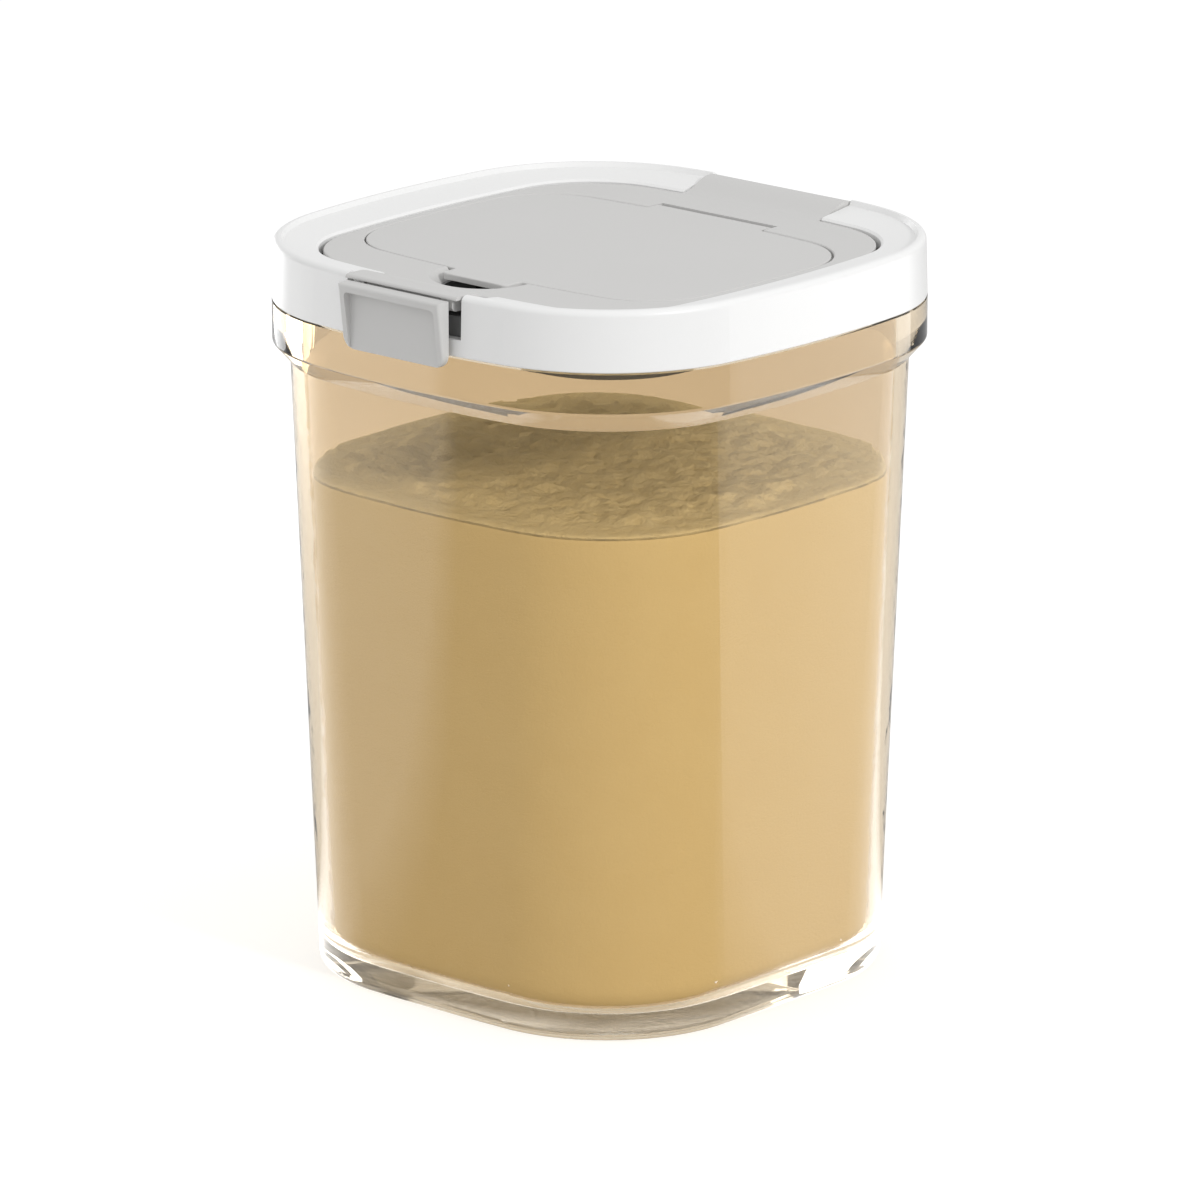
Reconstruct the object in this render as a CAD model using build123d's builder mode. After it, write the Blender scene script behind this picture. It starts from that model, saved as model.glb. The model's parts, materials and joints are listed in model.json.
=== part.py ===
"""Clear milk powder canister with a rim ring, a hinged latched lid and a spoon compartment under a flap.

Millimetres. The origin is on the canister's axis, on the surface it stands on. +Z is up, the latch is
at the front on -Y, the lid's hinge is at the back on +Y.
"""
from build123d import *
from math import atan2, degrees, sqrt
import os

os.makedirs("parts", exist_ok=True)

# Overall size and the heights that divide the canister from its lid
RIM_HALF = 65.0
RIM_CORNER = 40.0
RIM_SIDE = 236.0
RIM_BOTTOM = 155.4
RIM_CREST = 169.2
COLLAR_TOP = 155.1
COLLAR_BOTTOM = 146.0
BEVEL_FOOT = 141.5
COLLAR_EDGE_RADIUS = 1.0

# Canister
BASE_HALF = 56.0
BASE_CORNER = 36.4
BASE_SIDE = 689.0
BASE_EDGE_RADIUS = 3.0
WALL_TOP_HALF = 61.0
WALL = 3.0
FLOOR = 5.0
FLOOR_FILLET = 6.0
NECK_HALF = 60.6
NECK_TOP = 160.3
NECK_LIP_RADIUS = 0.8
SNAP_BEAD_LENGTH = 34.0
SNAP_BEAD_PROUD = 0.25
SNAP_BEAD_HEIGHT = 1.2

# Powder
POWDER_GAP = 0.3
POWDER_TOP = 117.0
POWDER_EDGE_RADIUS = 5.0

# Rim ring: its top falls from the crest to the opening in four stretches, (half width, height)
OPENING_HALF = 52.3
OPENING_CORNER = 22.0
OPENING_SIDE = 320.0
LIP_TOP = 166.4
LIP_CHAMFER = 0.5
SLOPE_OUTER_HALF = 62.2
SLOPE_OUTER_HEIGHT = 168.1
CREST_INNER_HALF = 62.8
CREST_RADIUS = 1.4
RING_FOOT_RADIUS = 0.4
RING_WALL = 2.4
RING_DRAFT = 0.4
WEB_UNDERSIDE = 165.2
LIP_WALL = 2.0
BOSS_ROOT = 0.3
BOSS_ABOVE_WEB = 1.0

# Seat frame
PLATE_TOP = 163.8
PLATE_BOTTOM = 161.8
SEAT_TOP = 162.3
SEAT_OUTER_HALF = 53.9
MOUTH_HALF = 49.6
MOUTH_WALL = 1.6
MOUTH_BOTTOM = 151.5
SKIRT_OUTER_HALF = 62.3
SKIRT_WALL = 1.3
SKIRT_BOTTOM = 156.2
LEVELLER_Y = -43.5
LEVELLER_THICK = 2.0
LEVELLER_HEIGHT = 3.2

# Lid panel
PANEL_HALF = 51.9
PANEL_CORNER = 24.0
PANEL_SIDE = 320.0
PANEL_TOP = 166.3
PANEL_UNDERSIDE = 163.7
PANEL_EDGE_RADIUS = 0.4
PLUG_OUTER_HALF = 48.3
PLUG_WALL = 1.6
PLUG_DRAFT = 0.3
PLUG_BOTTOM = 158.5
TONGUE_UNDERSIDE = 164.2
TONGUE_TOP = 169.0

# Flap, finger notch and spoon tray
FLAP_HALF_X = 49.0
FLAP_HALF_Y = 36.3
FLAP_MIDDLE_Y = -0.7
FLAP_CORNER = 18.0
FLAP_SIDE = 320.0
FLAP_BACK = FLAP_MIDDLE_Y + FLAP_HALF_Y
FLAP_THICK = 1.4
FLAP_EDGE_RADIUS = 0.3
FLAP_GAP = 0.3
FLAP_BACK_GAP = 0.6
FLAP_LIP_HALF = 9.6
FLAP_LIP_FRONT = -41.8
FLAP_LIP_CORNER = 1.5
FLAP_LIP_ROOT = 0.8
REBATE_FLOOR_GAP = 0.05
REBATE_CHAMFER = 0.25
FLAP_RIM_HEIGHT = 2.4
FLAP_RIM_WALL = 1.2
FLAP_RIM_GAP = 0.8
WINDOW_HALF_X = 41.0
WINDOW_FRONT = -32.0
WINDOW_BACK = 30.0
WINDOW_CORNER = 8.5
NOTCH_Y = -38.0
NOTCH_RADIUS = 12.2
NOTCH_FOOT_RADIUS = 10.2
FLAP_TAB_HALF = 17.0
FLAP_PIVOT_Y = 38.4
FLAP_PIVOT_Z = 164.8
TRUNNION_RADIUS = 0.75
TRUNNION_LENGTH = 1.8
TRUNNION_CLEARANCE = 0.06
TAB_SLOT_FRONT = 35.6
TAB_SLOT_BACK = 40.6
TRAY_HALF_X = 43.0
TRAY_FRONT = -34.0
TRAY_BACK = 32.0
TRAY_CORNER = 11.0
TRAY_WALL = 1.4
TRAY_BOTTOM = 150.0
TRAY_FLANGE = 1.8
TRAY_FLANGE_THICK = 1.5
TRAY_FOOT_RADIUS = 2.0
WELL_RADIUS = 9.4
WELL_BOTTOM = 155.3
POCKET_BOTTOM = 161.2
POCKET_FLOOR = 162.4

# Lid hinge at the back
HINGE_Y = 61.0
HINGE_Z = 166.2
BARREL_RADIUS = 2.9
BACK_TONGUE_HALF = 20.5
LID_PIN_RADIUS = 1.0
LID_PIN_HALF = 26.0
BOSS_LENGTH = 6.7
SIDE_GAP = 0.35
BACK_SILL = 162.8

# Latch at the front
FRONT_TONGUE_HALF = 16.5
TONGUE_ROOT = 1.0
TONGUE_EDGE_RADIUS = 0.5
CREST_Y = -61.0
NOSE_THICK = 0.8
NOSE_RADIUS = 0.7
NOSE_BACK = -60.4
TONGUE_KNEE = -58.0
NOTCH_HALF = 17.0
FRONT_SILL = 159.3
LATCH_PIVOT_Y = -63.0
LATCH_PIVOT_Z = 166.7
LATCH_PIN_RADIUS = 0.6
LATCH_PIN_HALF = 14.2
KNUCKLE_RADIUS = 1.3
KNUCKLE_HALF = 11.2
EAR_INNER = 11.5
EAR_OUTER = 14.6
EAR_WALL = 0.2
EAR_DEPTH = 6.0
LATCH_HALF = 15.0
LATCH_BACK = -66.0
LATCH_TOP = 168.0
LATCH_BOTTOM = 153.0
LATCH_TOP_FRONT = -69.5
LATCH_BOTTOM_FRONT = -67.6
LATCH_PLATE_FRONT = -67.1
LATCH_LIP = 1.8
LATCH_CHEEK = 1.7
LATCH_CORNER = 3.0
LATCH_EDGE_RADIUS = 0.6
LATCH_RECESS_CORNER = 1.0
LATCH_JOIN = 0.3
ARM_HEAD = 2.0
ARM_FOOT = 4.0
NOSE_Y = -65.2
CATCH_HALF = 8.0
CATCH_FRONT = -63.7
CATCH_BOTTOM = 162.3
TOOTH_TIP = -63.9
TOOTH_TOP = 161.8
TOOTH_BOTTOM = 160.4

RUNNING_CLEARANCE = 0.05


class BowedSquare(BaseSketchObject):
    """Square with four sides that bow outwards and four round corners, all tangent arcs."""

    def __init__(self, half_width, corner_radius, side_radius, mode=Mode.ADD):
        side_centre = half_width - side_radius
        reach = side_radius - corner_radius
        corner_centre = (2 * side_centre + sqrt(8 * reach**2 - 4 * side_centre**2)) / 4
        spread = degrees(atan2(corner_centre, corner_centre - side_centre))
        with BuildSketch() as square:
            with BuildLine():
                for turn in (0, 90, 180, 270):
                    side = Vector(side_centre, 0).rotate(Axis.Z, turn)
                    corner = Vector(corner_centre, corner_centre).rotate(Axis.Z, turn)
                    CenterArc(side, side_radius, turn - spread, 2 * spread)
                    CenterArc(corner, corner_radius, turn + spread, 90 - 2 * spread)
            make_face()
        super().__init__(obj=square.sketch, mode=mode)


class BowedOblong(BaseSketchObject):
    """Oblong whose four sides bow outwards as arcs of one radius, with rounded corners."""

    def __init__(self, half_x, half_y, corner_radius, side_radius, mode=Mode.ADD):
        with BuildSketch() as oblong:
            with Locations((half_x - side_radius, 0)):
                Circle(side_radius)
            with Locations((side_radius - half_x, 0)):
                Circle(side_radius, mode=Mode.INTERSECT)
            with Locations((0, half_y - side_radius)):
                Circle(side_radius, mode=Mode.INTERSECT)
            with Locations((0, side_radius - half_y)):
                Circle(side_radius, mode=Mode.INTERSECT)
            fillet(oblong.vertices(), corner_radius)
        super().__init__(obj=oblong.sketch, mode=mode)


class BowedTower(BasePartObject):
    """Solid through bowed squares, one for each level: (height, (half width, corner, side radius))."""

    def __init__(self, *levels, mode=Mode.ADD):
        with BuildPart() as tower:
            for height, outline in levels:
                with BuildSketch(Plane.XY.offset(height)):
                    BowedSquare(*outline)
            loft(ruled=True)
        super().__init__(part=tower.part, mode=mode)


class Slab(BasePartObject):
    """Box given by its low and high corner."""

    def __init__(self, low, high, mode=Mode.ADD):
        size = [b - a for a, b in zip(low, high)]
        with BuildPart() as slab:
            with Locations(low):
                Box(*size, align=(Align.MIN, Align.MIN, Align.MIN))
        super().__init__(part=slab.part, mode=mode)


def rim_outline(half_width):
    """Outline at an even distance from the rim ring's outer face."""
    inset = RIM_HALF - half_width
    return half_width, RIM_CORNER - inset, RIM_SIDE - inset


def opening_outline(half_width):
    """Outline at an even distance from the ring's opening."""
    inset = OPENING_HALF - half_width
    return half_width, OPENING_CORNER - inset, OPENING_SIDE - inset


def panel_outline(half_width):
    """Outline at an even distance from the lid panel's edge, whose corners are rounder."""
    inset = PANEL_HALF - half_width
    return half_width, PANEL_CORNER - inset, PANEL_SIDE - inset


def base_outline(half_width):
    """Outline at an even distance from the canister's base edge, whose sides bow less."""
    inset = BASE_HALF - half_width
    return half_width, BASE_CORNER - inset, BASE_SIDE - inset


def canister_outline(height, inset):
    """Outline inside the canister's outer wall at a height below the bevel."""
    share = height / BEVEL_FOOT
    low = base_outline(BASE_HALF - inset)
    high = rim_outline(WALL_TOP_HALF - inset)
    return tuple(a + (b - a) * share for a, b in zip(low, high))


# Canister: a drafted wall, a solid collar with a bevelled foot, and a neck that the lid snaps onto
with BuildPart() as canister:
    BowedTower((0, canister_outline(0, 0)), (BEVEL_FOOT, canister_outline(BEVEL_FOOT, 0)))
    fillet(canister.faces().sort_by(Axis.Z)[0].edges(), BASE_EDGE_RADIUS)
    BowedTower((BEVEL_FOOT, rim_outline(WALL_TOP_HALF)), (COLLAR_BOTTOM, rim_outline(RIM_HALF)))
    BowedTower((COLLAR_BOTTOM, rim_outline(RIM_HALF)), (COLLAR_TOP, rim_outline(RIM_HALF)))
    fillet(canister.edges().filter_by_position(Axis.Z, COLLAR_BOTTOM, COLLAR_BOTTOM), COLLAR_EDGE_RADIUS)
    BowedTower((COLLAR_TOP, rim_outline(NECK_HALF)), (NECK_TOP, rim_outline(NECK_HALF)))
    with BuildPart(mode=Mode.PRIVATE) as cavity:
        BowedTower((FLOOR, canister_outline(FLOOR, WALL)), (BEVEL_FOOT, canister_outline(BEVEL_FOOT, WALL)))
        fillet(cavity.faces().sort_by(Axis.Z)[0].edges(), FLOOR_FILLET)
        BowedTower(
            (BEVEL_FOOT, rim_outline(WALL_TOP_HALF - WALL)),
            (NECK_TOP, rim_outline(WALL_TOP_HALF - WALL)),
        )
    add(cavity.part, mode=Mode.SUBTRACT)
    fillet(canister.faces().sort_by(Axis.Z)[-1].edges(), NECK_LIP_RADIUS)
    # Snap beads at the middle of each side of the neck
    with BuildPart(mode=Mode.PRIVATE) as snap_beads:
        bead_height = (SKIRT_BOTTOM + NECK_TOP) / 2
        BowedTower(
            (bead_height - SNAP_BEAD_HEIGHT / 2, rim_outline(NECK_HALF)),
            (bead_height, rim_outline(NECK_HALF + SNAP_BEAD_PROUD)),
        )
        BowedTower(
            (bead_height, rim_outline(NECK_HALF + SNAP_BEAD_PROUD)),
            (bead_height + SNAP_BEAD_HEIGHT / 2, rim_outline(NECK_HALF)),
        )
        BowedTower(
            (bead_height - SNAP_BEAD_HEIGHT, rim_outline(NECK_HALF - WALL / 2)),
            (bead_height + SNAP_BEAD_HEIGHT, rim_outline(NECK_HALF - WALL / 2)),
            mode=Mode.SUBTRACT,
        )
        with BuildPart(mode=Mode.PRIVATE) as middles:
            with Locations((0, 0, bead_height)):
                Box(2 * RIM_HALF, SNAP_BEAD_LENGTH, 2 * SNAP_BEAD_HEIGHT)
                Box(SNAP_BEAD_LENGTH, 2 * RIM_HALF, 2 * SNAP_BEAD_HEIGHT)
        add(middles.part, mode=Mode.INTERSECT)
    add(snap_beads.part)
canister.part.label = "canister"
export_step(canister.part, "parts/canister.step")

# Milk powder: fills the cavity to a level top with a rounded edge
with BuildPart() as milk_powder:
    inset = WALL + POWDER_GAP
    bottom = FLOOR + POWDER_GAP
    BowedTower((FLOOR, canister_outline(FLOOR, inset)), (BEVEL_FOOT, canister_outline(BEVEL_FOOT, inset)))
    Slab((-RIM_HALF, -RIM_HALF, bottom), (RIM_HALF, RIM_HALF, POWDER_TOP), mode=Mode.INTERSECT)
    fillet(milk_powder.faces().sort_by(Axis.Z)[0].edges(), FLOOR_FILLET)
    fillet(milk_powder.faces().sort_by(Axis.Z)[-1].edges(), POWDER_EDGE_RADIUS)
milk_powder.part.label = "milk_powder"
export_step(milk_powder.part, "parts/milk_powder.step")

# Rim block: the rim's full section, which the ring and the lid's tongues are both cut from
with BuildPart() as rim_block:
    BowedTower((RIM_BOTTOM, rim_outline(RIM_HALF)), (RIM_CREST, rim_outline(RIM_HALF - RING_DRAFT)))
    fillet(rim_block.faces().sort_by(Axis.Z)[-1].edges(), CREST_RADIUS)
    fillet(rim_block.faces().sort_by(Axis.Z)[0].edges(), RING_FOOT_RADIUS)
    BowedTower(
        (SLOPE_OUTER_HEIGHT, rim_outline(SLOPE_OUTER_HALF)),
        (RIM_CREST, rim_outline(CREST_INNER_HALF)),
        mode=Mode.SUBTRACT,
    )
    BowedTower(
        (LIP_TOP + LIP_CHAMFER, opening_outline(OPENING_HALF + LIP_CHAMFER)),
        (SLOPE_OUTER_HEIGHT, rim_outline(SLOPE_OUTER_HALF)),
        mode=Mode.SUBTRACT,
    )

# Rim ring
with BuildPart() as lid_ring:
    add(rim_block.part)
    BowedTower(
        (LIP_TOP, opening_outline(OPENING_HALF)),
        (LIP_TOP + LIP_CHAMFER, opening_outline(OPENING_HALF + LIP_CHAMFER)),
        mode=Mode.SUBTRACT,
    )
    BowedTower(
        (RIM_BOTTOM, opening_outline(OPENING_HALF)),
        (LIP_TOP, opening_outline(OPENING_HALF)),
        mode=Mode.SUBTRACT,
    )
    with BuildPart(mode=Mode.PRIVATE) as ring_hollow:
        BowedTower(
            (RIM_BOTTOM, rim_outline(RIM_HALF - RING_WALL)),
            (WEB_UNDERSIDE, rim_outline(RIM_HALF - RING_WALL)),
        )
        BowedTower(
            (PLATE_TOP, opening_outline(OPENING_HALF + LIP_WALL)),
            (WEB_UNDERSIDE, opening_outline(OPENING_HALF + LIP_WALL)),
            mode=Mode.SUBTRACT,
        )
    add(ring_hollow.part, mode=Mode.SUBTRACT)
    # Bosses that hold the ends of the lid's hinge pin
    for side in (-1, 1):
        boss_middle = side * (BACK_TONGUE_HALF + SIDE_GAP + BOSS_LENGTH / 2)
        Slab(
            (boss_middle - BOSS_LENGTH / 2, HINGE_Y - BARREL_RADIUS, PLATE_TOP),
            (boss_middle + BOSS_LENGTH / 2, RIM_HALF - RING_WALL + BOSS_ROOT, WEB_UNDERSIDE + BOSS_ABOVE_WEB),
        )
    # Notches for the lid's tongues, the latch and the hinge barrel
    Slab(
        (-NOTCH_HALF, -RIM_HALF - 1, PLATE_TOP),
        (NOTCH_HALF, -OPENING_HALF + 2, RIM_CREST + 1),
        mode=Mode.SUBTRACT,
    )
    Slab(
        (-NOTCH_HALF, -RIM_HALF - 1, FRONT_SILL),
        (NOTCH_HALF, -SKIRT_OUTER_HALF + 2, RIM_CREST + 1),
        mode=Mode.SUBTRACT,
    )
    back_notch = BACK_TONGUE_HALF + SIDE_GAP
    Slab(
        (-back_notch, OPENING_HALF - 2, PLATE_TOP),
        (back_notch, RIM_HALF + 1, RIM_CREST + 1),
        mode=Mode.SUBTRACT,
    )
    Slab(
        (-back_notch, HINGE_Y - BARREL_RADIUS - 1, BACK_SILL),
        (back_notch, RIM_HALF + 1, RIM_CREST + 1),
        mode=Mode.SUBTRACT,
    )
    with Locations((0, HINGE_Y, HINGE_Z)):
        Cylinder(LID_PIN_RADIUS, 2 * LID_PIN_HALF, rotation=(0, 90, 0), mode=Mode.SUBTRACT)
lid_ring.part.label = "lid_ring"
export_step(lid_ring.part, "parts/lid_ring.step")

# Seat frame: plate, skirt over the neck, stepped seat, pouring mouth and levelling edge
with BuildPart() as seat_frame:
    BowedTower((SKIRT_BOTTOM, rim_outline(SKIRT_OUTER_HALF)), (PLATE_TOP, rim_outline(SKIRT_OUTER_HALF)))
    BowedTower(
        (SKIRT_BOTTOM, rim_outline(SKIRT_OUTER_HALF - SKIRT_WALL)),
        (PLATE_BOTTOM, rim_outline(SKIRT_OUTER_HALF - SKIRT_WALL)),
        mode=Mode.SUBTRACT,
    )
    BowedTower(
        (MOUTH_BOTTOM, opening_outline(MOUTH_HALF + MOUTH_WALL)),
        (PLATE_BOTTOM, opening_outline(MOUTH_HALF + MOUTH_WALL)),
    )
    BowedTower(
        (MOUTH_BOTTOM, opening_outline(MOUTH_HALF)),
        (SEAT_TOP, opening_outline(MOUTH_HALF)),
        mode=Mode.SUBTRACT,
    )
    BowedTower(
        (SEAT_TOP, opening_outline(SEAT_OUTER_HALF)),
        (PLATE_TOP, opening_outline(SEAT_OUTER_HALF)),
        mode=Mode.SUBTRACT,
    )
    # Levelling edge across the front of the mouth
    with BuildPart(mode=Mode.PRIVATE) as leveller:
        BowedTower(
            (MOUTH_BOTTOM, opening_outline(MOUTH_HALF + MOUTH_WALL / 2)),
            (MOUTH_BOTTOM + LEVELLER_HEIGHT, opening_outline(MOUTH_HALF + MOUTH_WALL / 2)),
        )
        Slab(
            (-RIM_HALF, LEVELLER_Y - LEVELLER_THICK / 2, MOUTH_BOTTOM),
            (RIM_HALF, LEVELLER_Y + LEVELLER_THICK / 2, MOUTH_BOTTOM + LEVELLER_HEIGHT),
            mode=Mode.INTERSECT,
        )
    add(leveller.part)
    # Relief under the lid's hinge barrel
    Slab(
        (-BACK_TONGUE_HALF - SIDE_GAP, HINGE_Y - BARREL_RADIUS - 0.6, BACK_SILL),
        (BACK_TONGUE_HALF + SIDE_GAP, RIM_HALF, PLATE_TOP),
        mode=Mode.SUBTRACT,
    )
    # Catch that the latch's tooth snaps under
    Slab((-CATCH_HALF, CATCH_FRONT, CATCH_BOTTOM), (CATCH_HALF, -SKIRT_OUTER_HALF + 1, PLATE_TOP))
seat_frame.part.label = "seat_frame"
export_step(seat_frame.part, "parts/seat_frame.step")

# Rim gasket, squeezed between the frame's plate and the lip of the neck
GASKET_OUTER = NECK_HALF + 0.2
GASKET_INNER = WALL_TOP_HALF - WALL - 0.8
with BuildPart() as rim_gasket:
    BowedTower((NECK_TOP + 0.05, rim_outline(GASKET_OUTER)), (PLATE_BOTTOM, rim_outline(GASKET_OUTER)))
    BowedTower(
        (NECK_TOP + 0.05, rim_outline(GASKET_INNER)),
        (PLATE_BOTTOM, rim_outline(GASKET_INNER)),
        mode=Mode.SUBTRACT,
    )
rim_gasket.part.label = "rim_gasket"
export_step(rim_gasket.part, "parts/rim_gasket.step")

# Lid panel: plate and plug skirt, then the two tongues, then everything that is cut out of it
with BuildPart() as lid_panel:
    BowedTower((PANEL_UNDERSIDE, panel_outline(PANEL_HALF)), (PANEL_TOP, panel_outline(PANEL_HALF)))
    fillet(lid_panel.faces().sort_by(Axis.Z)[-1].edges(), PANEL_EDGE_RADIUS)
    with BuildPart(mode=Mode.PRIVATE) as plug_skirt:
        BowedTower(
            (PLUG_BOTTOM, panel_outline(PLUG_OUTER_HALF - PLUG_DRAFT)),
            (PANEL_UNDERSIDE, panel_outline(PLUG_OUTER_HALF)),
        )
        BowedTower(
            (PLUG_BOTTOM, panel_outline(PLUG_OUTER_HALF - PLUG_WALL)),
            (PANEL_UNDERSIDE, panel_outline(PLUG_OUTER_HALF - PLUG_WALL)),
            mode=Mode.SUBTRACT,
        )
        # The skirt stops short of the finger well
        well_clear = NOTCH_FOOT_RADIUS + TRAY_WALL
        Slab(
            (-well_clear, -PANEL_HALF, PLUG_BOTTOM),
            (well_clear, NOTCH_Y, PANEL_UNDERSIDE),
            mode=Mode.SUBTRACT,
        )
    add(plug_skirt.part)
    # Front tongue: rises in an S from the panel to the nose over the latch
    with BuildPart(mode=Mode.PRIVATE) as front_tongue:
        with BuildSketch(Plane.YZ.offset(-FRONT_TONGUE_HALF)):
            with BuildLine():
                rise = Spline(
                    (TONGUE_ROOT - PANEL_HALF, PANEL_TOP),
                    (CREST_Y, TONGUE_TOP),
                    tangents=[(-1, 0), (-1, 0)],
                )
                Polyline(
                    rise @ 1,
                    (NOSE_Y, TONGUE_TOP),
                    (NOSE_Y, TONGUE_TOP - NOSE_THICK),
                    (NOSE_BACK, TONGUE_TOP - NOSE_THICK),
                    (TONGUE_KNEE, TONGUE_UNDERSIDE),
                    (TONGUE_ROOT - PANEL_HALF, TONGUE_UNDERSIDE),
                    rise @ 0,
                )
            make_face()
        extrude(amount=2 * FRONT_TONGUE_HALF)
        fillet(front_tongue.edges().filter_by(Axis.X).group_by(Axis.Y)[0].sort_by(Axis.Z)[-1], NOSE_RADIUS)
    add(front_tongue.part)
    # Ears that hold the latch's pin
    ear_radius = KNUCKLE_RADIUS + EAR_WALL
    ear_reach = TONGUE_TOP - NOSE_THICK / 2 - LATCH_PIVOT_Z
    for side in (-1, 1):
        with BuildSketch(Plane.YZ.offset(side * EAR_INNER if side > 0 else -EAR_OUTER)):
            with Locations((LATCH_PIVOT_Y, LATCH_PIVOT_Z)):
                Circle(ear_radius)
                Rectangle(EAR_DEPTH, 2 * ear_radius, align=(Align.MIN, Align.CENTER))
                Rectangle(2 * ear_radius, ear_reach, align=(Align.CENTER, Align.MIN))
        extrude(amount=EAR_OUTER - EAR_INNER)
    # Back tongue: the same S up to the crest, then round the hinge pin
    with BuildSketch(Plane.YZ.offset(-BACK_TONGUE_HALF)):
        with BuildLine():
            climb = Spline(
                (PANEL_HALF - TONGUE_ROOT, PANEL_TOP),
                (HINGE_Y, HINGE_Z + BARREL_RADIUS),
                tangents=[(1, 0), (1, 0)],
            )
            Polyline(
                climb @ 1,
                (HINGE_Y, TONGUE_UNDERSIDE),
                (PANEL_HALF - TONGUE_ROOT, TONGUE_UNDERSIDE),
                climb @ 0,
            )
        make_face()
        with Locations((HINGE_Y, HINGE_Z)):
            Circle(BARREL_RADIUS)
    extrude(amount=2 * BACK_TONGUE_HALF)
    with Locations((0, HINGE_Y, HINGE_Z)):
        Cylinder(
            LID_PIN_RADIUS + RUNNING_CLEARANCE, 2 * LID_PIN_HALF, rotation=(0, 90, 0), mode=Mode.SUBTRACT
        )
    with Locations((0, LATCH_PIVOT_Y, LATCH_PIVOT_Z)):
        Cylinder(LATCH_PIN_RADIUS, 2 * LATCH_PIN_HALF, rotation=(0, 90, 0), mode=Mode.SUBTRACT)
    # Rebate that the flap lies in, flush with the panel
    rebate_middle = (0, FLAP_MIDDLE_Y + (FLAP_BACK_GAP - FLAP_GAP) / 2)
    rebate_half_y = FLAP_HALF_Y + (FLAP_BACK_GAP + FLAP_GAP) / 2
    with BuildSketch(Plane.XY.offset(PANEL_TOP - FLAP_THICK - REBATE_FLOOR_GAP)):
        with Locations(rebate_middle):
            BowedOblong(FLAP_HALF_X + FLAP_GAP, rebate_half_y, FLAP_CORNER, FLAP_SIDE)
    extrude(amount=PANEL_TOP, mode=Mode.SUBTRACT)
    with BuildPart(mode=Mode.PRIVATE) as rebate_bevel:
        for widening in (0, REBATE_CHAMFER):
            with BuildSketch(Plane.XY.offset(PANEL_TOP - REBATE_CHAMFER + widening)):
                with Locations(rebate_middle):
                    BowedOblong(
                        FLAP_HALF_X + FLAP_GAP + widening,
                        rebate_half_y + widening,
                        FLAP_CORNER + widening,
                        FLAP_SIDE + widening,
                    )
        loft(ruled=True)
    add(rebate_bevel.part, mode=Mode.SUBTRACT)
    # Window into the spoon tray
    with BuildSketch(Plane.XY.offset(PANEL_UNDERSIDE)):
        with Locations((0, (WINDOW_FRONT + WINDOW_BACK) / 2)):
            RectangleRounded(2 * WINDOW_HALF_X, WINDOW_BACK - WINDOW_FRONT, WINDOW_CORNER)
    extrude(amount=FLAP_THICK, mode=Mode.SUBTRACT)
    # Finger notch: a cone round the flap's lip
    with Locations((0, NOTCH_Y, (PANEL_UNDERSIDE + PANEL_TOP) / 2)):
        Cone(NOTCH_FOOT_RADIUS, NOTCH_RADIUS, PANEL_TOP - PANEL_UNDERSIDE, mode=Mode.SUBTRACT)
    # Slot and bearings of the flap's hinge tab
    tab_slot = FLAP_TAB_HALF + FLAP_GAP
    Slab(
        (-tab_slot, TAB_SLOT_FRONT, PANEL_UNDERSIDE - 1),
        (tab_slot, TAB_SLOT_BACK, PANEL_TOP + 1),
        mode=Mode.SUBTRACT,
    )
    with Locations((0, FLAP_PIVOT_Y, FLAP_PIVOT_Z)):
        Cylinder(
            TRUNNION_RADIUS + TRUNNION_CLEARANCE,
            2 * (FLAP_TAB_HALF + TRUNNION_LENGTH + FLAP_GAP),
            rotation=(0, 90, 0),
            mode=Mode.SUBTRACT,
        )
lid_panel.part.label = "lid_panel"
export_step(lid_panel.part, "parts/lid_panel.step")

# Lid gasket under the panel's edge
LID_GASKET_OUTER = 51.4
LID_GASKET_INNER = 49.4
with BuildPart() as lid_gasket:
    BowedTower(
        (SEAT_TOP + 0.05, panel_outline(LID_GASKET_OUTER)),
        (PANEL_UNDERSIDE, panel_outline(LID_GASKET_OUTER)),
    )
    BowedTower(
        (SEAT_TOP + 0.05, panel_outline(LID_GASKET_INNER)),
        (PANEL_UNDERSIDE, panel_outline(LID_GASKET_INNER)),
        mode=Mode.SUBTRACT,
    )
lid_gasket.part.label = "lid_gasket"
export_step(lid_gasket.part, "parts/lid_gasket.step")

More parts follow.
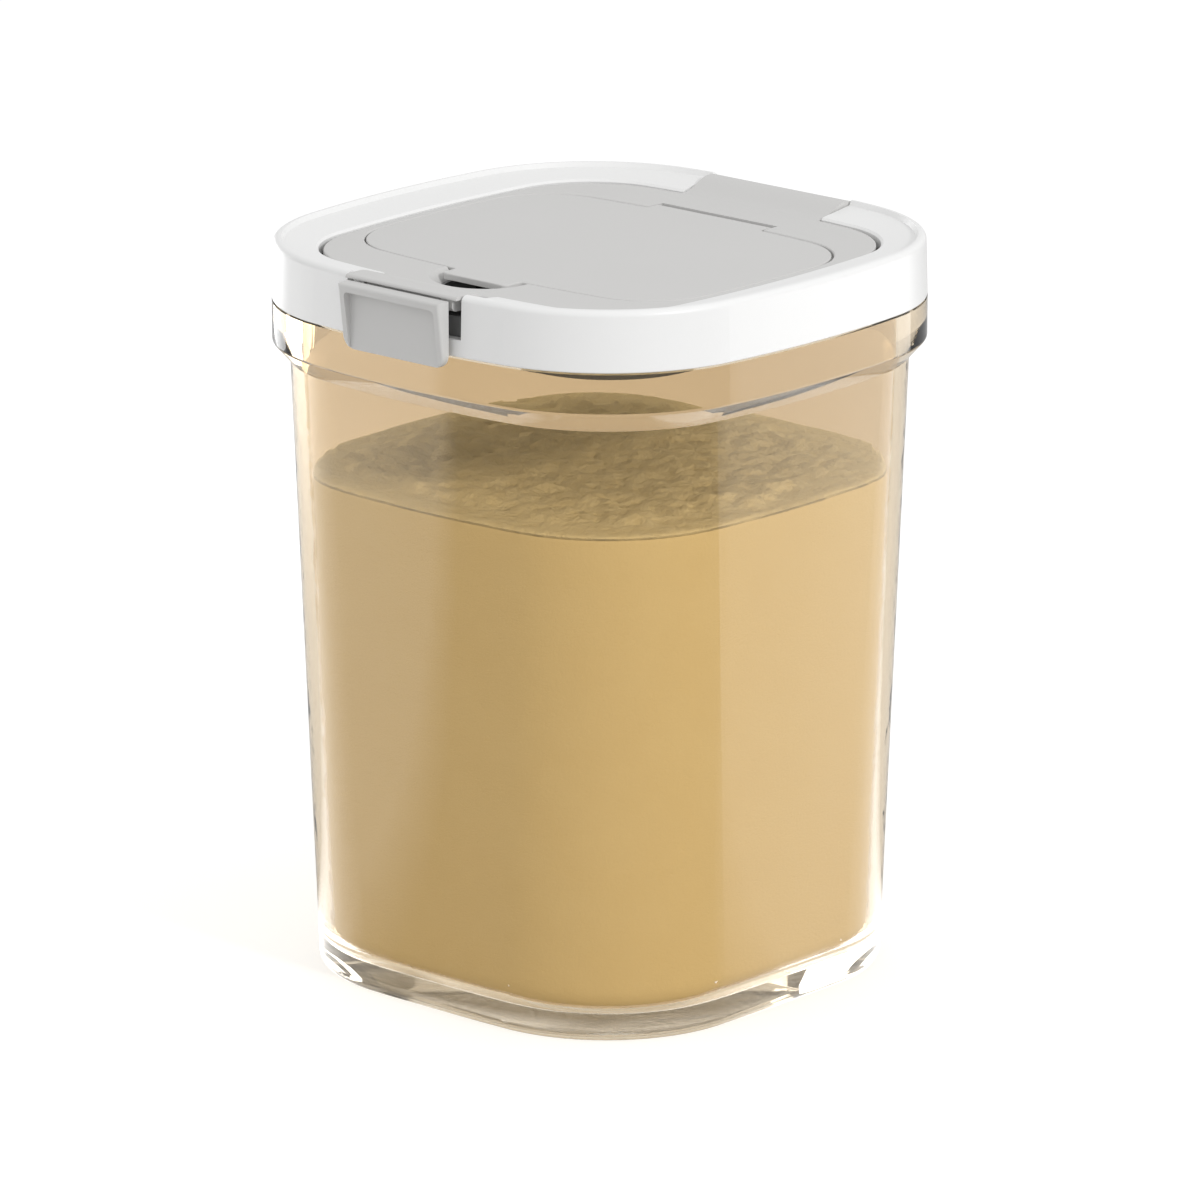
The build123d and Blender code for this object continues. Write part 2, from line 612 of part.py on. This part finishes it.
# Spoon tray: compartment, finger well in front of it and the pocket under the flap's hinge tab
tray_middle = (TRAY_FRONT + TRAY_BACK) / 2
tray_depth_y = TRAY_BACK - TRAY_FRONT
with BuildPart() as spoon_tray:
    with BuildSketch(Plane.XY.offset(TRAY_BOTTOM)):
        with Locations((0, tray_middle)):
            RectangleRounded(2 * TRAY_HALF_X, tray_depth_y, TRAY_CORNER)
    extrude(amount=PANEL_UNDERSIDE - TRAY_BOTTOM)
    fillet(spoon_tray.faces().sort_by(Axis.Z)[0].edges(), TRAY_FOOT_RADIUS)
    with BuildSketch(Plane.XY.offset(PANEL_UNDERSIDE - TRAY_FLANGE_THICK)):
        with Locations((0, tray_middle)):
            RectangleRounded(
                2 * (TRAY_HALF_X + TRAY_FLANGE), tray_depth_y + 2 * TRAY_FLANGE, TRAY_CORNER + TRAY_FLANGE
            )
    extrude(amount=TRAY_FLANGE_THICK)
    with BuildSketch(Plane.XY.offset(WELL_BOTTOM)):
        with Locations((0, NOTCH_Y)):
            Circle(WELL_RADIUS + TRAY_WALL)
    extrude(amount=PANEL_UNDERSIDE - WELL_BOTTOM)
    pocket_half = FLAP_TAB_HALF + FLAP_GAP
    Slab(
        (-pocket_half - TRAY_WALL, TRAY_BACK - 1, POCKET_BOTTOM),
        (pocket_half + TRAY_WALL, TAB_SLOT_BACK + TRAY_WALL, PANEL_UNDERSIDE),
    )
    with BuildSketch(Plane.XY.offset(TRAY_BOTTOM + TRAY_WALL)):
        with Locations((0, tray_middle)):
            RectangleRounded(
                2 * (TRAY_HALF_X - TRAY_WALL), tray_depth_y - 2 * TRAY_WALL, TRAY_CORNER - TRAY_WALL
            )
    extrude(amount=PANEL_UNDERSIDE - TRAY_BOTTOM, mode=Mode.SUBTRACT)
    with BuildSketch(Plane.XY.offset(WELL_BOTTOM + TRAY_WALL)):
        with Locations((0, NOTCH_Y)):
            Circle(WELL_RADIUS)
    extrude(amount=PANEL_UNDERSIDE - WELL_BOTTOM, mode=Mode.SUBTRACT)
    Slab(
        (-pocket_half, TAB_SLOT_FRONT, POCKET_FLOOR),
        (pocket_half, TAB_SLOT_BACK, PANEL_UNDERSIDE + 1),
        mode=Mode.SUBTRACT,
    )
spoon_tray.part.label = "spoon_tray"
export_step(spoon_tray.part, "parts/spoon_tray.step")

# Flap: bowed plate with a lip in the finger notch, a stiffening rim and a tab on two moulded trunnions
with BuildPart() as flap:
    flap_front = FLAP_MIDDLE_Y - FLAP_HALF_Y
    with BuildSketch(Plane.XY.offset(PANEL_TOP - FLAP_THICK)) as flap_outline:
        with Locations((0, FLAP_MIDDLE_Y)):
            BowedOblong(FLAP_HALF_X, FLAP_HALF_Y, FLAP_CORNER, FLAP_SIDE)
        with Locations((0, FLAP_LIP_FRONT)):
            RectangleRounded(
                2 * FLAP_LIP_HALF,
                FLAP_HALF_Y,
                FLAP_LIP_CORNER,
                align=(Align.CENTER, Align.MIN),
            )
        lip_roots = flap_outline.vertices().filter_by_position(Axis.Y, flap_front, flap_front + FLAP_LIP_ROOT)
        fillet(lip_roots, FLAP_LIP_ROOT)
    extrude(amount=FLAP_THICK)
    fillet(flap.faces().sort_by(Axis.Z)[-1].edges(), FLAP_EDGE_RADIUS)
    rim_half_x = WINDOW_HALF_X - FLAP_RIM_GAP
    rim_depth_y = WINDOW_BACK - WINDOW_FRONT - 2 * FLAP_RIM_GAP
    rim_corner = WINDOW_CORNER - FLAP_RIM_GAP
    with BuildSketch(Plane.XY.offset(PANEL_TOP - FLAP_THICK - FLAP_RIM_HEIGHT)):
        with Locations((0, (WINDOW_FRONT + WINDOW_BACK) / 2)):
            RectangleRounded(2 * rim_half_x, rim_depth_y, rim_corner)
            RectangleRounded(
                2 * (rim_half_x - FLAP_RIM_WALL),
                rim_depth_y - 2 * FLAP_RIM_WALL,
                rim_corner - FLAP_RIM_WALL,
                mode=Mode.SUBTRACT,
            )
    extrude(amount=FLAP_RIM_HEIGHT)
    # Hinge tab, round at the back so that it turns inside its slot
    tab_radius = PANEL_TOP - FLAP_PIVOT_Z
    with BuildSketch(Plane.YZ.offset(-FLAP_TAB_HALF)):
        with Locations((FLAP_PIVOT_Y, FLAP_PIVOT_Z)):
            Circle(tab_radius)
        with Locations((FLAP_PIVOT_Y, PANEL_TOP - FLAP_THICK)):
            Rectangle(FLAP_PIVOT_Y - FLAP_BACK + FLAP_THICK, FLAP_THICK, align=(Align.MAX, Align.MIN))
    extrude(amount=2 * FLAP_TAB_HALF)
    with Locations((0, FLAP_PIVOT_Y, FLAP_PIVOT_Z)):
        Cylinder(TRUNNION_RADIUS, 2 * (FLAP_TAB_HALF + TRUNNION_LENGTH), rotation=(0, 90, 0))
flap.part.label = "flap"
export_step(flap.part, "parts/flap.step")

# Latch: wedge with raised cheeks round a recessed finger face, a knuckle on an arm, and the tooth
knuckle_side = KNUCKLE_RADIUS / sqrt(2)
with BuildPart() as latch:
    with BuildSketch(Plane.YZ.offset(-LATCH_HALF)):
        with BuildLine():
            Polyline(
                (LATCH_BACK, LATCH_BOTTOM),
                (LATCH_BACK, LATCH_TOP),
                (LATCH_TOP_FRONT, LATCH_TOP),
                (LATCH_BOTTOM_FRONT, LATCH_BOTTOM),
                close=True,
            )
        make_face()
    extrude(amount=2 * LATCH_HALF)
    # Round the two lower corners seen from the front, then the whole front edge
    fillet(latch.edges().filter_by(Axis.Y).group_by(Axis.Z)[0], LATCH_CORNER)
    fillet(latch.faces().sort_by(Axis.Y)[0].edges(), LATCH_EDGE_RADIUS)
    # Recessed finger face, open at the bottom
    with BuildSketch(Plane.XZ.offset(-LATCH_PLATE_FRONT)):
        with Locations((0, LATCH_TOP - LATCH_LIP)):
            RectangleRounded(
                2 * (LATCH_HALF - LATCH_CHEEK),
                LATCH_TOP - LATCH_BOTTOM,
                LATCH_RECESS_CORNER,
                align=(Align.CENTER, Align.MAX),
            )
    extrude(amount=LATCH_PLATE_FRONT - LATCH_TOP_FRONT, mode=Mode.SUBTRACT)
    # Arm that drops from the pin to the back of the plate
    with BuildSketch(Plane.YZ.offset(-KNUCKLE_HALF)):
        with Locations((LATCH_PIVOT_Y, LATCH_PIVOT_Z)):
            Circle(KNUCKLE_RADIUS)
        with BuildLine():
            Polyline(
                (LATCH_PIVOT_Y + knuckle_side, LATCH_PIVOT_Z - knuckle_side),
                (LATCH_PIVOT_Y - knuckle_side, LATCH_PIVOT_Z + knuckle_side),
                (LATCH_BACK - LATCH_JOIN, LATCH_PIVOT_Z - ARM_HEAD),
                (LATCH_BACK - LATCH_JOIN, LATCH_PIVOT_Z - ARM_FOOT),
                close=True,
            )
        make_face()
    extrude(amount=2 * KNUCKLE_HALF)
    with Locations((0, LATCH_PIVOT_Y, LATCH_PIVOT_Z)):
        Cylinder(
            LATCH_PIN_RADIUS + RUNNING_CLEARANCE, 2 * LATCH_PIN_HALF, rotation=(0, 90, 0), mode=Mode.SUBTRACT
        )
    # Tooth that snaps under the catch
    Slab((-CATCH_HALF, LATCH_BACK - LATCH_JOIN, TOOTH_BOTTOM), (CATCH_HALF, TOOTH_TIP, TOOTH_TOP))
latch.part.label = "latch"
export_step(latch.part, "parts/latch.step")

# Pins
with BuildPart() as lid_pin:
    with Locations((0, HINGE_Y, HINGE_Z)):
        Cylinder(LID_PIN_RADIUS, 2 * LID_PIN_HALF, rotation=(0, 90, 0))
lid_pin.part.label = "lid_pin"
export_step(lid_pin.part, "parts/lid_pin.step")

with BuildPart() as latch_pin:
    with Locations((0, LATCH_PIVOT_Y, LATCH_PIVOT_Z)):
        Cylinder(LATCH_PIN_RADIUS, 2 * LATCH_PIN_HALF, rotation=(0, 90, 0))
latch_pin.part.label = "latch_pin"
export_step(latch_pin.part, "parts/latch_pin.step")
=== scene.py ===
import json
import math

import bpy
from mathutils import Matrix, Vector, noise

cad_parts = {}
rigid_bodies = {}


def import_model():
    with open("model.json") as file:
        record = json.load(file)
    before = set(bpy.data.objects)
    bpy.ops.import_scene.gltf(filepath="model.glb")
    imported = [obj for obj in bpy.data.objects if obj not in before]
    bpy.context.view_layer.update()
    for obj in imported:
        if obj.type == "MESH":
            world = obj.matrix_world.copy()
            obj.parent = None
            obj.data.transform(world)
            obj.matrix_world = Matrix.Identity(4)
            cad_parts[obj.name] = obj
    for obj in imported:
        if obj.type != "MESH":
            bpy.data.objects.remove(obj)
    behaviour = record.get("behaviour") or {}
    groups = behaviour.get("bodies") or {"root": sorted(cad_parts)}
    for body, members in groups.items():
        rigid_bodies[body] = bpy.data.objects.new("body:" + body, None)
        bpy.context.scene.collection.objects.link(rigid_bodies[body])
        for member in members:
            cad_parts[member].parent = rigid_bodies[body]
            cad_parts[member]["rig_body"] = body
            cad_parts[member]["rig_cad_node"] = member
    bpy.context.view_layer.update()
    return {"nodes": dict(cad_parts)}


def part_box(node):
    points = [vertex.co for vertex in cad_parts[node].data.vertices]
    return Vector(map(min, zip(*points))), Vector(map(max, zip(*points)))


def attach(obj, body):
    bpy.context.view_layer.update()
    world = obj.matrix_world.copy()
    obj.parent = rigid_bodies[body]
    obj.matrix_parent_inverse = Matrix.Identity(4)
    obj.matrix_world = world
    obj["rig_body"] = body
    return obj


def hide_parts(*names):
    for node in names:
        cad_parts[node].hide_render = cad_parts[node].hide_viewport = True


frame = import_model()
parts = frame["nodes"]


# The canister is injection moulded in one piece from clear plastic with a slight honey tint: drafted
# walls about 3 mm thick, a solid collar that the rim sits on, and a thick flat floor. Its surfaces are
# polished, with only the faintest ripple from the mould.
class Value:
    """One output of a shader node, with the arithmetic that the finishes use."""

    def __init__(self, tree, output):
        self.tree = tree
        self.output = output

    def maths(self, operation, first, second):
        made = self.tree.nodes.new("ShaderNodeMath")
        made.operation = operation
        for socket, value in zip(made.inputs, (first, second)):
            if isinstance(value, Value):
                self.tree.links.new(value.output, socket)
            else:
                socket.default_value = value
        return Value(self.tree, made.outputs[0])

    def __add__(self, other):
        return self.maths("ADD", self, other)

    def __radd__(self, other):
        return self.maths("ADD", other, self)

    def __sub__(self, other):
        return self.maths("SUBTRACT", self, other)

    def __rsub__(self, other):
        return self.maths("SUBTRACT", other, self)

    def __mul__(self, other):
        return self.maths("MULTIPLY", self, other)

    def __rmul__(self, other):
        return self.maths("MULTIPLY", other, self)

    def most(self, other):
        return self.maths("MAXIMUM", self, other)

    def least(self, other):
        return self.maths("MINIMUM", self, other)


class Finish:
    """The finish of a material, or of the world, under construction."""

    def __init__(self, owner, end="ShaderNodeOutputMaterial"):
        owner.use_nodes = True
        self.owner = owner
        self.tree = owner.node_tree
        self.tree.nodes.clear()
        self.end = self.tree.nodes.new(end)

    def node(self, kind, settings=(), sockets=(), output=0):
        made = self.tree.nodes.new("ShaderNode" + kind)
        for key, value in dict(settings).items():
            setattr(made, key, value)
        for key, value in dict(sockets).items():
            if isinstance(value, Value):
                self.tree.links.new(value.output, made.inputs[key])
            else:
                made.inputs[key].default_value = value
        return Value(self.tree, made.outputs[output])

    def spot(self):
        """Where a point of the piece is, in metres."""
        return self.node("TexCoord", output="Object")

    def noise(self, size, detail=2.0, roughness=0.5):
        """Even noise whose lumps are about that size, in metres."""
        sockets = {"Vector": self.spot(), "Scale": 1 / size, "Detail": detail, "Roughness": roughness}
        return self.node("TexNoise", {"noise_dimensions": "3D"}, sockets)

    def bump(self, height, depth, under=None):
        """Surface relief that is that deep, in metres, for a height from 0 to 1."""
        sockets = {"Strength": 1.0, "Distance": depth, "Height": height}
        if under is not None:
            sockets["Normal"] = under
        return self.node("Bump", (), sockets)

    def blend(self, share, low, high):
        """Colour that goes from low to high as share goes from 0 to 1. Its sockets 6 and 7 hold colours."""
        return self.node("Mix", {"data_type": "RGBA"}, {"Factor": share, 6: low, 7: high}, output=2)

    def shader(self, **sockets):
        """The plain surface shader with those socket values."""
        named = {key.replace("_", " "): value for key, value in sockets.items()}
        return self.node("BsdfPrincipled", (), named)

    def surface(self, **sockets):
        """Closes the finish with the plain surface shader."""
        self.show(self.shader(**sockets))
        return self.owner

    def show(self, shader):
        self.tree.links.new(shader.output, self.end.inputs["Surface"])


def paint(name, material):
    """Gives a CAD piece its finish."""
    parts[name].material_slots[0].material = material


HONEY_CLEAR = (0.73, 0.615, 0.455, 1)
HONEY_SHADOW = (0.97, 0.95, 0.91, 1)
PLASTIC_IOR = 1.27
RIPPLE_WIDTH = 0.035
RIPPLE_DEPTH = 0.00002
clear = Finish(bpy.data.materials.new("clear_honey_plastic"))
ripple = clear.noise(RIPPLE_WIDTH, detail=1.0)
glassy = clear.shader(
    Base_Color=HONEY_CLEAR,
    Roughness=0.01,
    IOR=PLASTIC_IOR,
    Transmission_Weight=1.0,
    Normal=clear.bump(ripple, RIPPLE_DEPTH),
)
# Light that falls into the canister passes its walls, so that the powder isn't left in the dark
is_shadow = clear.node("LightPath", output="Is Shadow Ray")
is_diffuse = clear.node("LightPath", output="Is Diffuse Ray")
passing = clear.node("BsdfTransparent", (), {"Color": HONEY_SHADOW})
clear.show(clear.node("MixShader", (), {"Fac": is_shadow.most(is_diffuse), 1: glassy, 2: passing}))
paint("canister", clear.owner)


# The milk powder fills the container to about two thirds of its height. It lies level along the walls,
# pressed smooth there, and its top is a loose crumbly layer that stands a little proud inside that edge.
POWDER_GRAIN = 0.0012
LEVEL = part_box("milk_powder")[1].z
ROUNDED_EDGE = 0.0055
MERGE_REACH = 0.00002
CUT = LEVEL - ROUNDED_EDGE
bpy.ops.object.select_all(action="DESELECT")
parts["milk_powder"].select_set(True)
bpy.context.view_layer.objects.active = parts["milk_powder"]
bpy.ops.object.duplicate()
powder = bpy.context.active_object
powder.name = "powder_heap"
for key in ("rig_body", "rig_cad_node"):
    del powder[key]
powder.parent = None
bpy.ops.object.mode_set(mode="EDIT")
bpy.ops.mesh.select_all(action="SELECT")
bpy.ops.mesh.remove_doubles(threshold=MERGE_REACH)
# The solid's rounded top edge gives way to a square one, so that the powder meets the wall at a line
bpy.ops.mesh.bisect(plane_co=(0, 0, CUT), plane_no=(0, 0, 1), clear_outer=True, use_fill=True)
bpy.ops.mesh.extrude_region_move(TRANSFORM_OT_translate={"value": (0, 0, LEVEL - CUT)})
bpy.ops.object.mode_set(mode="OBJECT")
remesh = powder.modifiers.new("crumbs", "REMESH")
remesh.mode = "VOXEL"
remesh.voxel_size = POWDER_GRAIN
bpy.ops.object.modifier_apply(modifier="crumbs")
# The powder stands this much further back from the wall's inner face than the solid does
POWDER_ROOM = 0.0003
shrink = powder.modifiers.new("room", "DISPLACE")
shrink.mid_level = 0
shrink.strength = -POWDER_ROOM
bpy.ops.object.modifier_apply(modifier="room")

# The loose layer is an uneven patch that ends short of the walls, on a ragged edge
LOOSE_REACH = 0.048
LOOSE_RAGGED = 0.006
LOOSE_FADE = 0.0022
TOP_FACES = 0.0008
WALL_POWER = 3.5
BAYS_PER_METRE = 70
NICKS_PER_METRE = 260
NICK_SHARE = 0.6
NICK_SLICE = 3
loose = powder.vertex_groups.new(name="loose")
for vertex in powder.data.vertices:
    x, y, z = vertex.co
    if z < LEVEL - TOP_FACES:
        continue
    reach = (abs(x) ** WALL_POWER + abs(y) ** WALL_POWER) ** (1 / WALL_POWER)
    bays = noise.noise((x * BAYS_PER_METRE, y * BAYS_PER_METRE, 0))
    nicks = noise.noise((x * NICKS_PER_METRE, y * NICKS_PER_METRE, NICK_SLICE))
    ragged = bays + NICK_SHARE * nicks
    inside = (LOOSE_REACH + LOOSE_RAGGED * ragged - reach) / LOOSE_FADE
    if inside > 0:
        loose.add([vertex.index], min(1, inside), "REPLACE")
bpy.context.view_layer.objects.active = powder
LOOSE_SINK = 0.42
CLOUD_DETAIL = 3
for label, lump, rise in (("swell", 0.034, 0.0044), ("lumps", 0.008, 0.0030), ("crumble", 0.0030, 0.0026)):
    cloud = bpy.data.textures.new(label, "CLOUDS")
    cloud.noise_scale = lump
    cloud.noise_depth = CLOUD_DETAIL
    push = powder.modifiers.new(label, "DISPLACE")
    push.texture = cloud
    push.texture_coords = "LOCAL"
    push.direction = "Z"
    push.vertex_group = "loose"
    push.mid_level = LOOSE_SINK
    push.strength = rise
    bpy.ops.object.modifier_apply(modifier=label)
POWDER_CREASE = math.radians(60)
bpy.ops.object.select_all(action="DESELECT")
powder.select_set(True)
bpy.ops.object.shade_smooth_by_angle(angle=POWDER_CREASE)

POWDER_PALE = (0.94, 0.80, 0.48, 1)
POWDER_DEEP = (0.88, 0.72, 0.40, 1)
# The loose top is painted paler than the pressed powder. Part of this is the loose powder's own paler colour,
# and part is painted light that makes up for the shade the lid casts on it.
POWDER_LOOSE_AND_PAINTED_LIGHT = (0.98, 0.88, 0.60, 1)
MOTTLE_SHARE = 0.6
GRAIN_SHARE = 0.4
CLUMP_CONTRAST = 1.6
CLUMP_SHADE = 0.3
CLUMP_DEPTH = 0.0015
GRAIN_DEPTH = 0.0001
TOP_SKIN = 0.0012
TOP_SHARPNESS = 2000
crumb = Finish(bpy.data.materials.new("milk_powder"))
mottle = crumb.noise(0.012, detail=4.0)
grain = crumb.noise(0.0009, detail=3.0, roughness=0.7)
clumps = crumb.noise(0.0045, detail=5.0, roughness=0.62)
altitude = crumb.node("SeparateXYZ", (), {0: crumb.spot()}, output="Z")
on_top = ((altitude - (LEVEL - TOP_SKIN)) * TOP_SHARPNESS).most(0).least(1)
pressed = crumb.blend(mottle * MOTTLE_SHARE + grain * GRAIN_SHARE, POWDER_DEEP, POWDER_PALE)
# Painted shade on the loose top: its colour follows the same clumps as its relief, so the crumbs' hollows are
# painted darker and their tops paler
crumbled_with_painted_shade = crumb.blend(clumps * CLUMP_CONTRAST - CLUMP_SHADE, POWDER_PALE, POWDER_LOOSE_AND_PAINTED_LIGHT)
powder.data.materials.clear()
powder.data.materials.append(
    crumb.surface(
        Base_Color=crumb.blend(on_top, pressed, crumbled_with_painted_shade),
        Roughness=0.95,
        Specular_IOR_Level=0.0,
        Normal=crumb.bump(clumps * on_top, CLUMP_DEPTH, under=crumb.bump(grain, GRAIN_DEPTH)),
    )
)
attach(powder, "canister")
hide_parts("milk_powder")


# The rim ring is moulded in white plastic with a satin skin. It clips onto the neck and carries the
# hinge pin of the lid at the back.
RIM_WHITE = (0.83, 0.83, 0.825, 1)
MOULDED_IOR = 1.46
SKIN_DEPTH = 0.000006
satin = Finish(bpy.data.materials.new("white_satin_plastic"))
skin = satin.noise(0.0006, detail=2.0)
wave = satin.noise(0.02, detail=1.0)
white_satin = satin.surface(
    Base_Color=RIM_WHITE,
    Roughness=0.30 + wave * 0.06,
    IOR=MOULDED_IOR,
    Normal=satin.bump(skin, SKIN_DEPTH),
)
paint("lid_ring", white_satin)


# The lid panel, the flap and the latch are moulded in one light grey plastic with a fine spark-eroded
# skin that dulls their shine. The flap lies flush in the panel on two moulded trunnions.
LID_GREY = (0.61, 0.605, 0.595, 1)
LID_GREY_DEEP = (0.595, 0.59, 0.58, 1)
PIT_DEPTH = 0.00001
matte = Finish(bpy.data.materials.new("light_grey_plastic"))
pits = matte.noise(0.00045, detail=3.0, roughness=0.6)
drift = matte.noise(0.03, detail=1.0)
light_grey = matte.surface(
    Base_Color=matte.blend(drift, LID_GREY, LID_GREY_DEEP),
    Roughness=0.46 + pits * 0.08,
    IOR=MOULDED_IOR,
    Normal=matte.bump(pits, PIT_DEPTH),
)
for name in ("lid_panel", "flap", "latch"):
    paint(name, light_grey)


# The seat frame and the spoon tray are moulded in a darker grey. The frame is seen as a strip in the
# latch's notch, and the tray only through the finger notch while the flap is shut.
FRAME_GREY = (0.19, 0.19, 0.19, 1)
FLECK_DEPTH = 0.00001
shade = Finish(bpy.data.materials.new("grey_plastic"))
fleck = shade.noise(0.0005, detail=3.0)
dark_grey = shade.surface(
    Base_Color=FRAME_GREY,
    Roughness=0.5 + fleck * 0.1,
    Normal=shade.bump(fleck, FLECK_DEPTH),
)
paint("seat_frame", dark_grey)
paint("spoon_tray", dark_grey)


# The gaskets are pressed from translucent silicone, soft and slightly dusty to the eye. One lies in the
# seat frame against the canister's neck, the other round the underside of the lid panel.
SILICONE = (0.72, 0.72, 0.70, 1)
BLOOM_DEPTH = 0.00002
soft = Finish(bpy.data.materials.new("silicone"))
bloom = soft.noise(0.004, detail=3.0)
rubbery = soft.surface(
    Base_Color=SILICONE,
    Roughness=0.45 + bloom * 0.2,
    Subsurface_Weight=0.3,
    Subsurface_Scale=0.002,
    Normal=soft.bump(bloom, BLOOM_DEPTH),
)
paint("rim_gasket", rubbery)
paint("lid_gasket", rubbery)


# Both hinge pins are cut from drawn stainless wire, with fine lines along their length. They are
# pushed through bored bosses from the side, the thick one for the lid and the thin one for the latch.
STEEL = (0.58, 0.57, 0.56, 1)
DRAWN_LINES = (30, 4000, 4000)
LINE_DEPTH = 0.000004
wire = Finish(bpy.data.materials.new("drawn_steel"))
stretch = wire.node("Mapping", (), {"Vector": wire.spot(), "Scale": DRAWN_LINES})
drawn = wire.node("TexNoise", (), {"Vector": stretch, "Scale": 1.0, "Detail": 3.0})
steel = wire.surface(
    Base_Color=STEEL,
    Metallic=1.0,
    Roughness=0.25 + drawn * 0.15,
    Normal=wire.bump(drawn, LINE_DEPTH),
)
paint("lid_pin", steel)
paint("latch_pin", steel)


# The stage is a pale floor that runs on as the backdrop, white to the camera and through the clear
# plastic, with the object's own soft shadow on it.
FLOOR_HALF = 6.0
bpy.ops.mesh.primitive_plane_add(size=2 * FLOOR_HALF, location=(0, 0, 0))
floor = bpy.context.active_object
floor.name = "floor"
FLOOR_GLOW = 0.5
FLOOR_THROUGH = 0.5
FLOOR_PALE = (0.62, 0.62, 0.62, 1)
pale = Finish(bpy.data.materials.new("pale_floor"))
is_camera = pale.node("LightPath", output="Is Camera Ray")
is_through = pale.node("LightPath", output="Is Transmission Ray")
is_glossy = pale.node("LightPath", output="Is Glossy Ray")
across = pale.node("SeparateXYZ", (), {0: pale.spot()}, output="X")
along = pale.node("SeparateXYZ", (), {0: pale.spot()}, output="Y")
BOARD_GLOW = 2.8
BOARD_EDGE = 40


def past(across_share, along_share, start):
    """Above 0 past a straight line on the floor, and below 0 before it."""
    return (across * across_share + along * along_share + start) * BOARD_EDGE


# Two areas of the floor stand for bright boards, to the left and behind on the right. Only gloss shows them
right_board = past(-0.569, 0.822, 0.051).least(past(1, -0.25, 0))
left_board = past(-0.829, 0.559, 0.017).least(past(0.2, -1, 0))
boards = right_board.most(left_board).most(0).least(1)
only_glossy = is_glossy * (1 - is_through)
seen_glow = (is_camera * FLOOR_GLOW).most(is_through * FLOOR_THROUGH)
glow = pale.node("Emission", (), {"Color": seen_glow.most(only_glossy * boards * BOARD_GLOW)})
dull = pale.node("BsdfDiffuse", (), {"Color": FLOOR_PALE})
pale.show(pale.node("AddShader", (), {0: glow, 1: dull}))
floor.data.materials.append(pale.owner)

WORLD_LIGHT = 0.83
sky = Finish(bpy.data.worlds.new("studio"), "ShaderNodeOutputWorld")
bpy.context.scene.world = sky.owner
seen = sky.node("LightPath", output="Is Camera Ray").most(sky.node("LightPath", output="Is Transmission Ray"))
strength = WORLD_LIGHT + seen * (1 - WORLD_LIGHT)
sky.show(sky.node("Background", (), {"Color": (1, 1, 1, 1), "Strength": strength}))


def softbox(name, place, aim, width, height, power):
    """A soft area lamp at a place, turned to face its aim."""
    lamp = bpy.data.lights.new(name, "AREA")
    lamp.shape = "RECTANGLE"
    lamp.size = width
    lamp.size_y = height
    lamp.energy = power
    holder = bpy.data.objects.new(name, lamp)
    holder.location = place
    holder.rotation_euler = (Vector(aim) - Vector(place)).to_track_quat("-Z", "Y").to_euler()
    bpy.context.scene.collection.objects.link(holder)


KEY_PLACE = (1.41, -0.12, 0.84)
KEY_AIM = (0, 0, 0.09)
KEY_SIDE = 0.16
KEY_POWER = 8.5
FILL_PLACE = (-0.60, 0.10, 0.10)
FILL_AIM = (-0.06, 0, 0.10)
FILL_WIDTH = 0.30
FILL_HEIGHT = 0.34
FILL_POWER = 1.2
softbox("key_right", KEY_PLACE, KEY_AIM, KEY_SIDE, KEY_SIDE, KEY_POWER)
softbox("fill_left", FILL_PLACE, FILL_AIM, FILL_WIDTH, FILL_HEIGHT, FILL_POWER)


# The camera stands where the photograph was taken from: to the right of the latch, a little above the
# lid, and far off with a long lens.
CAMERA_AZIMUTH = math.radians(41.86)
CAMERA_ELEVATION = math.radians(15.51)
CAMERA_DISTANCE = 2.0877
CAMERA_PIVOT = Vector((0, 0, 0.0904))
CAMERA_AIM = Vector((0, 0, 0.0842))
CAMERA_LENS = 277.9
SENSOR_WIDTH = 36
FARTHEST_SEEN = 50
towards = Vector(
    (
        math.sin(CAMERA_AZIMUTH) * math.cos(CAMERA_ELEVATION),
        -math.cos(CAMERA_AZIMUTH) * math.cos(CAMERA_ELEVATION),
        math.sin(CAMERA_ELEVATION),
    )
)
eye = bpy.data.cameras.new("camera")
eye.lens = CAMERA_LENS
eye.sensor_width = SENSOR_WIDTH
eye.clip_end = FARTHEST_SEEN
camera = bpy.data.objects.new("camera", eye)
camera.location = CAMERA_PIVOT + towards * CAMERA_DISTANCE
camera.rotation_euler = (CAMERA_AIM - camera.location).to_track_quat("-Z", "Y").to_euler()
bpy.context.scene.collection.objects.link(camera)
bpy.context.scene.camera = camera
bpy.context.scene.view_settings.view_transform = "Standard"
